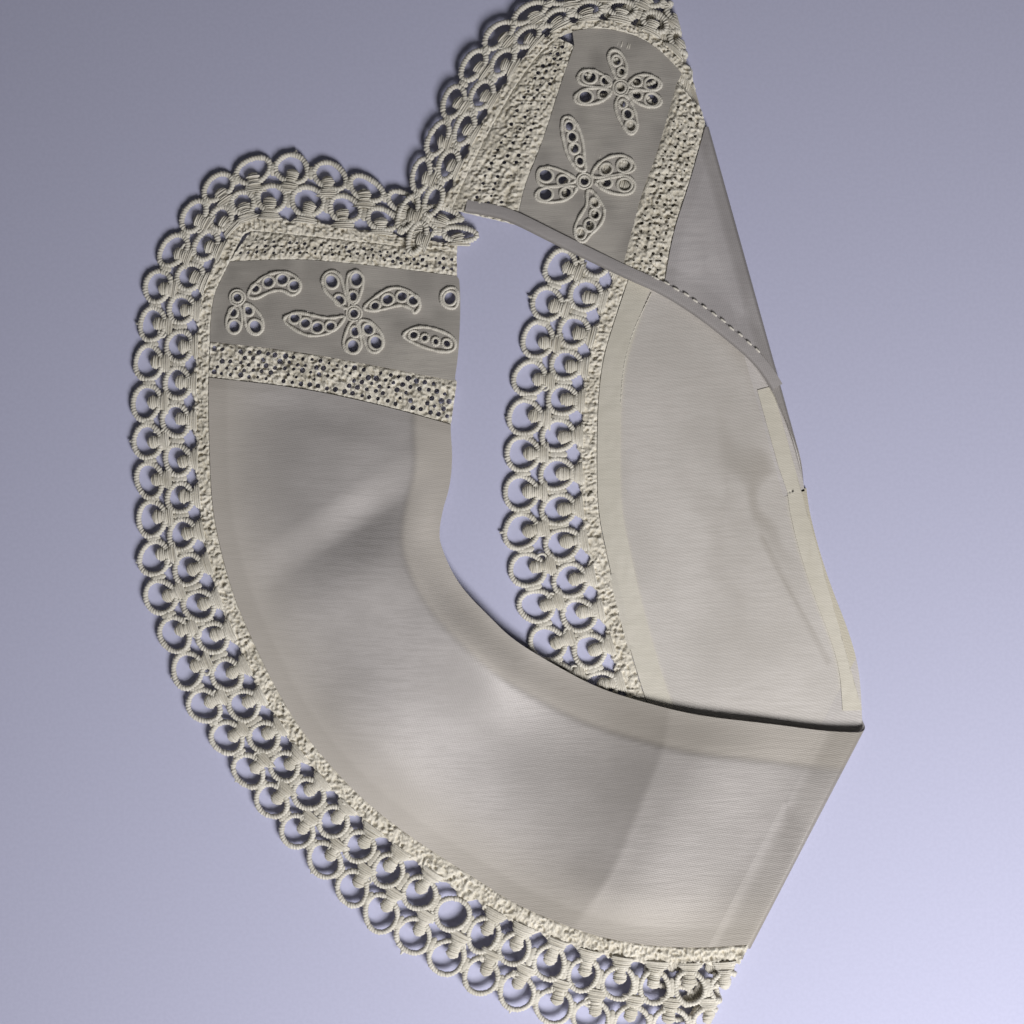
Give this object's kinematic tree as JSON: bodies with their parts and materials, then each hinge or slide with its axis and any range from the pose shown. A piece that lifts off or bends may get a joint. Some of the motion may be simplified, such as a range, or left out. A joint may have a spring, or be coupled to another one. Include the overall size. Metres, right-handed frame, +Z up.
{
  "type": "detachable lace collar",
  "caption": "Sheer ivory dress collar with embroidered front panels, lace insertions and a scalloped corded lace edge, laid down with both ends turned over.",
  "frame": {"origin": "centre of the laid collar's bounding box, on the table it lies on", "axes": "+Z up from the table; +Y along the laid collar's longest extent, towards the end whose panel is turned over on top; +X towards the two folds"},
  "size_m": [0.2266, 0.329, 0.0038],
  "materials": {
    "satin_organza": "soft satin sheen, slightly see-through, fine crosswise weave",
    "corded_lace": "matt twisted ecru cord",
    "satin_stitch": "silky ecru embroidery thread",
    "facing_cloth": "plain yellowed cream cloth, matt"
  },
  "bodies": {
    "back": {"back_face_cloth": "satin_organza", "back_lining_cloth": "satin_organza", "back_seam_tape": "facing_cloth", "back_neck_facing": "facing_cloth", "back_edging": "corded_lace"},
    "left_front": {"left_neck_facing": "facing_cloth", "left_lining_cloth": "satin_organza", "left_face_cloth": "satin_organza", "left_rear_insertion": "corded_lace", "left_front_insertion": "corded_lace", "left_panel": "satin_organza", "left_motif_middle": "satin_stitch", "left_motif_outer": "satin_stitch", "left_motif_neck": "satin_stitch", "left_edging": "corded_lace"},
    "right_front": {"right_neck_facing": "facing_cloth", "right_lining_cloth": "satin_organza", "right_face_cloth": "satin_organza", "right_rear_insertion": "corded_lace", "right_front_insertion": "corded_lace", "right_panel": "satin_organza", "right_motif_neck": "satin_stitch", "right_motif_outer": "satin_stitch", "right_edging": "corded_lace"}
  },
  "joints": [
    {"name": "left_front_turnover", "type": "hinge", "parent": "back", "child": "left_front", "pos_m": [0.08798, -0.11648, 0.00185], "axis": [0.4624, 0.8867, 0], "range_deg": [0, 165]},
    {"name": "right_front_turnover", "type": "hinge", "parent": "back", "child": "right_front", "pos_m": [0.07558, 0.08242, 0.0014], "axis": [-0.2677, 0.9635, 0], "range_deg": [0, 165]}
  ]
}
